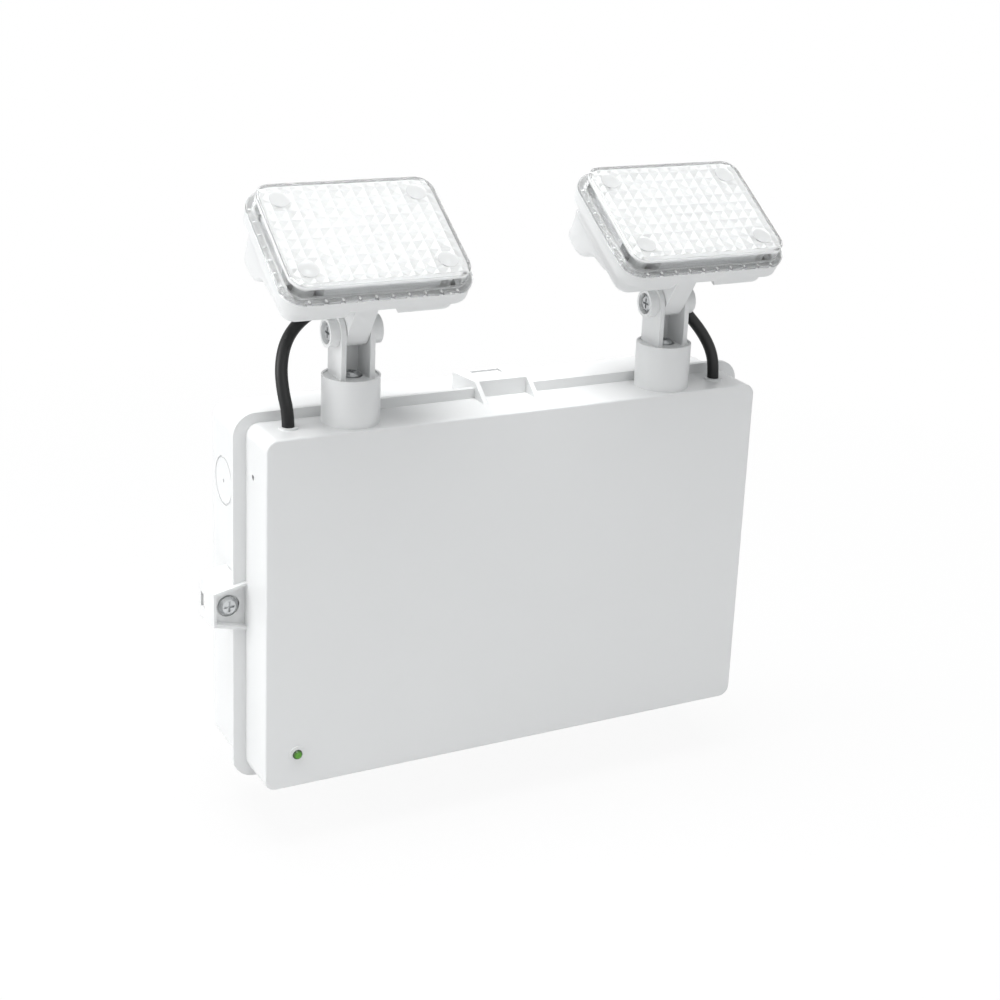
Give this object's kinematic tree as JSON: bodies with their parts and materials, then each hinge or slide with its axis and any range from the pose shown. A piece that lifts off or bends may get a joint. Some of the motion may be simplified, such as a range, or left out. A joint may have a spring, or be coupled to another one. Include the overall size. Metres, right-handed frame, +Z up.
{
  "type": "twin-head emergency light",
  "caption": "Wall-mounted emergency light: a flat white housing with two rectangular lamp heads that pan and tilt on forks on top, each fed by a short black lead.",
  "frame": {"origin": "centre of the rectangle of four wall fixing holes, on the flat back of the housing", "axes": "+X to the right for someone facing the light, +Y into the wall, +Z up; the front and the lamp heads face -Y"},
  "size_m": [0.304, 0.093, 0.2977],
  "materials": {
    "white_abs": "white moulded plastic with a light gloss",
    "white_bush": "white moulded plastic, semi-gloss",
    "black_abs": "black moulded plastic",
    "grey_plastic": "grey metallised plastic",
    "green_plastic": "green moulded plastic",
    "clear_plastic": "clear prismatic plastic",
    "black_rubber": "black rubber",
    "grey_silicone": "grey silicone rubber",
    "black_pvc": "black flexible cable sheath",
    "board": "green circuit board laminate",
    "white_board": "circuit board with a white solder mask",
    "led_yellow": "pale phosphor coated emitter",
    "green_led": "green tinted lamp lens",
    "zinc_steel": "zinc plated steel",
    "steel_core": "varnished laminated steel core",
    "brass_tab": "tinned brass tab",
    "aluminium": "extruded aluminium"
  },
  "bodies": {
    "housing": {"battery": "black_abs", "battery_strap": "zinc_steel", "battery_terminals": "brass_tab", "board_screws": "zinc_steel", "capacitors": "black_abs", "charger_board": "board", "cover_screws": "zinc_steel", "front_cover": "white_abs", "heat_sink": "aluminium", "housing_gasket": "black_rubber", "indicator_led": "green_led", "led_holder": "white_bush", "left_cover_bush": "white_bush", "left_lead": "black_pvc", "rear_housing": "white_abs", "relay": "black_abs", "right_cover_bush": "white_bush", "right_lead": "black_pvc", "strap_screws": "zinc_steel", "terminal_block": "green_plastic", "test_switch": "black_abs", "transformer": "steel_core"},
    "left_fork_body": {"left_fork": "white_abs", "left_pan_screw": "zinc_steel", "left_pan_washer": "zinc_steel", "left_pan_nut": "zinc_steel", "left_tilt_screw": "zinc_steel", "left_tilt_nut": "zinc_steel"},
    "left_head_body": {"left_head_shell": "white_abs", "left_head_gasket": "grey_silicone", "left_lens": "clear_plastic", "left_lens_screws": "zinc_steel", "left_reflector": "grey_plastic", "left_led_board": "white_board", "left_leds": "led_yellow", "left_head_gland": "black_rubber"},
    "right_fork_body": {"right_fork": "white_abs", "right_pan_screw": "zinc_steel", "right_pan_washer": "zinc_steel", "right_pan_nut": "zinc_steel", "right_tilt_screw": "zinc_steel", "right_tilt_nut": "zinc_steel"},
    "right_head_body": {"right_head_shell": "white_abs", "right_head_gasket": "grey_silicone", "right_lens": "clear_plastic", "right_lens_screws": "zinc_steel", "right_reflector": "grey_plastic", "right_led_board": "white_board", "right_leds": "led_yellow", "right_head_gland": "black_rubber"},
    "test_button_body": {"test_button": "black_abs"}
  },
  "joints": [
    {"name": "left_pan", "type": "hinge", "parent": "housing", "child": "left_fork_body", "pos_m": [-0.08706, -0.0539, 0.1125], "axis": [0, 0, 1], "range_deg": [-60, 60], "deforming": ["left_lead"]},
    {"name": "left_tilt", "type": "hinge", "parent": "left_fork_body", "child": "left_head_body", "pos_m": [-0.08706, -0.0539, 0.13425], "axis": [1, 0, 0], "range_deg": [-33, 70], "deforming": ["left_lead"]},
    {"name": "right_pan", "type": "hinge", "parent": "housing", "child": "right_fork_body", "pos_m": [0.08706, -0.0539, 0.1125], "axis": [0, 0, 1], "range_deg": [-60, 60], "deforming": ["right_lead"]},
    {"name": "right_tilt", "type": "hinge", "parent": "right_fork_body", "child": "right_head_body", "pos_m": [0.08706, -0.0539, 0.13425], "axis": [1, 0, 0], "range_deg": [-33, 70], "deforming": ["right_lead"]},
    {"name": "test_press", "type": "slide", "parent": "housing", "child": "test_button_body", "axis": [1, 0, 0], "range_m": [0, 0.0004], "stiffness_N_per_m": 400}
  ]
}
